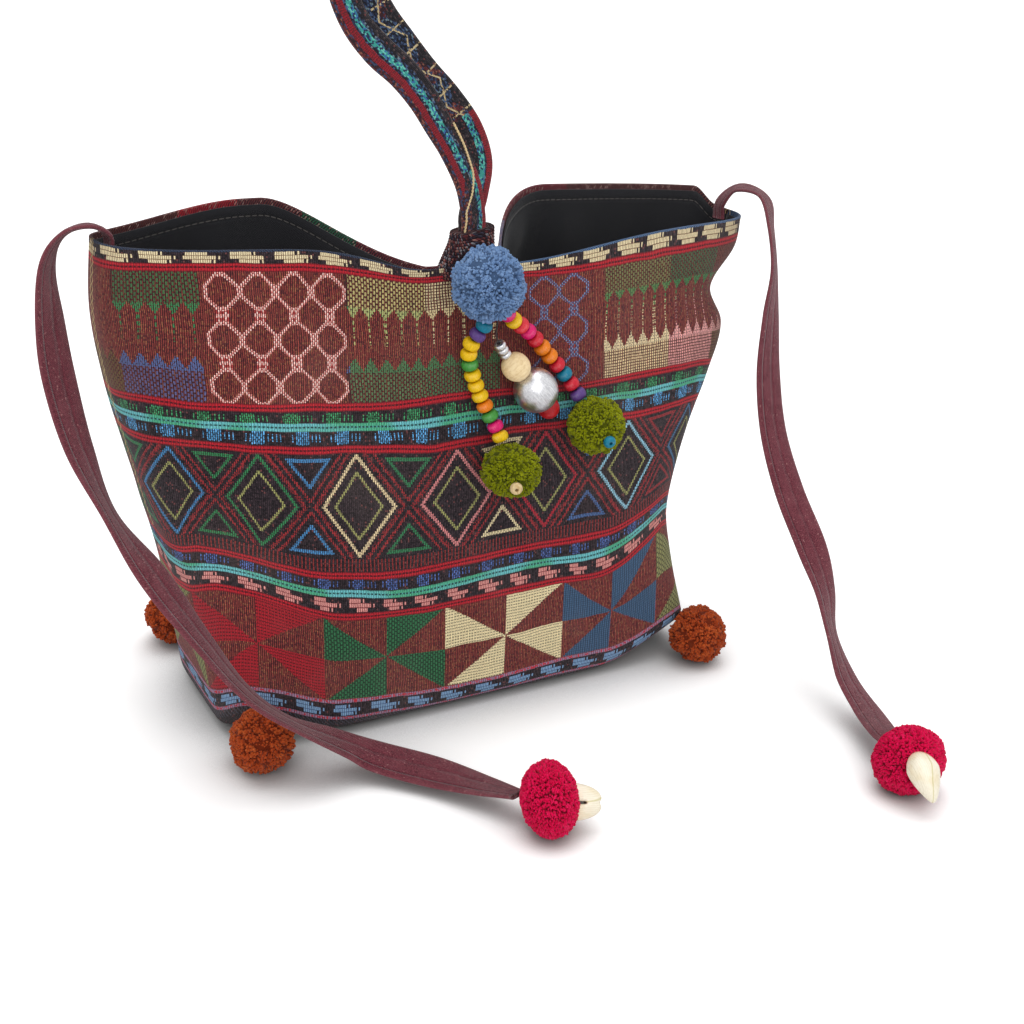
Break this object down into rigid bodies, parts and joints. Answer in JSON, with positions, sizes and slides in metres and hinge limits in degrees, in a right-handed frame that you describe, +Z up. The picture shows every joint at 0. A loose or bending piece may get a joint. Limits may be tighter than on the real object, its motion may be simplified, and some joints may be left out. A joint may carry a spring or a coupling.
{
  "type": "crossbody bag",
  "caption": "Soft woven crossbody bag with a mouth pinched at the middle, a folded shoulder strap, bead strands, tie bands and yarn pompoms",
  "frame": {"origin": "on the floor under the middle of the base", "axes": "+X along the bag's width to the right seen from the front, +Y from front to back, +Z up"},
  "size_m": [0.3744, 0.324, 0.3939],
  "materials": {
    "woven_cotton": "thick patterned weave",
    "lining_cloth": "plain black cotton",
    "collar_wrap": "ribbed wrap",
    "strap_webbing": "striped woven band",
    "tie_cotton": "folded and stitched cotton",
    "bead_thread": "waxed thread",
    "yarn_blue": "cut yarn",
    "yarn_green": "cut yarn",
    "yarn_rust": "cut yarn",
    "yarn_crimson": "cut yarn",
    "bead_teal": "painted",
    "bead_purple": "painted",
    "bead_yellow": "painted",
    "bead_green": "painted",
    "bead_orange": "painted",
    "bead_magenta": "painted",
    "bead_coral": "painted",
    "bead_red": "painted",
    "bare_wood": "plain turned",
    "bead_beige": "plain turned",
    "silver_metal": "satin",
    "shell": "glossy natural shell"
  },
  "bodies": {
    "root": {"front_panel": "woven_cotton", "back_panel": "woven_cotton", "base_panel": "woven_cotton", "lining": "lining_cloth", "collar": "collar_wrap", "shoulder_strap": "strap_webbing", "blue_pompom": "yarn_blue", "tie_left": "tie_cotton", "tie_right": "tie_cotton", "crimson_pompom_left": "yarn_crimson", "crimson_pompom_right": "yarn_crimson", "cowrie_shell_left": "shell", "cowrie_shell_right": "shell", "rust_pompom_front_left": "yarn_rust", "rust_pompom_front_right": "yarn_rust", "rust_pompom_back_left": "yarn_rust", "rust_pompom_back_right": "yarn_rust"},
    "left_strand": {"left_bead_01_teal": "bead_teal", "left_bead_02_purple": "bead_purple", "left_bead_03_yellow": "bead_yellow", "left_bead_04_yellow": "bead_yellow", "left_bead_05_green": "bead_green", "left_bead_06_yellow": "bead_yellow", "left_bead_07_yellow": "bead_yellow", "left_bead_08_yellow": "bead_yellow", "left_bead_09_orange": "bead_orange", "left_bead_10_green": "bead_green", "left_bead_11_magenta": "bead_magenta", "left_bead_12_yellow": "bead_yellow", "left_thread": "bead_thread", "green_pompom_left": "yarn_green", "left_end_bead": "bead_beige"},
    "middle_strand": {"middle_ring_1": "silver_metal", "middle_ring_2": "silver_metal", "middle_ring_3": "silver_metal", "middle_wood_ball": "bare_wood", "middle_silver_ball": "silver_metal", "middle_red_ball": "bead_red", "middle_thread": "bead_thread"},
    "right_strand": {"right_bead_01_magenta": "bead_magenta", "right_bead_02_yellow": "bead_yellow", "right_bead_03_coral": "bead_coral", "right_bead_04_magenta": "bead_magenta", "right_bead_05_red": "bead_red", "right_bead_06_orange": "bead_orange", "right_bead_07_orange": "bead_orange", "right_bead_08_red": "bead_red", "right_bead_09_teal": "bead_teal", "right_bead_10_red": "bead_red", "right_bead_11_purple": "bead_purple", "right_thread": "bead_thread", "green_pompom_right": "yarn_green", "right_end_bead": "bead_teal"}
  },
  "joints": [
    {"name": "left_strand_swing", "type": "hinge", "parent": "root", "child": "left_strand", "pos_m": [-0.0054, -0.0623, 0.20271], "axis": [-1, 0, 0], "range_deg": [0, 30]},
    {"name": "middle_strand_swing", "type": "hinge", "parent": "root", "child": "middle_strand", "pos_m": [-0.0016, -0.0653, 0.20314], "axis": [-1, 0, 0], "range_deg": [0, 30]},
    {"name": "right_strand_swing", "type": "hinge", "parent": "root", "child": "right_strand", "pos_m": [0.0039, -0.0613, 0.20655], "axis": [-1, 0, 0], "range_deg": [0, 30]}
  ]
}
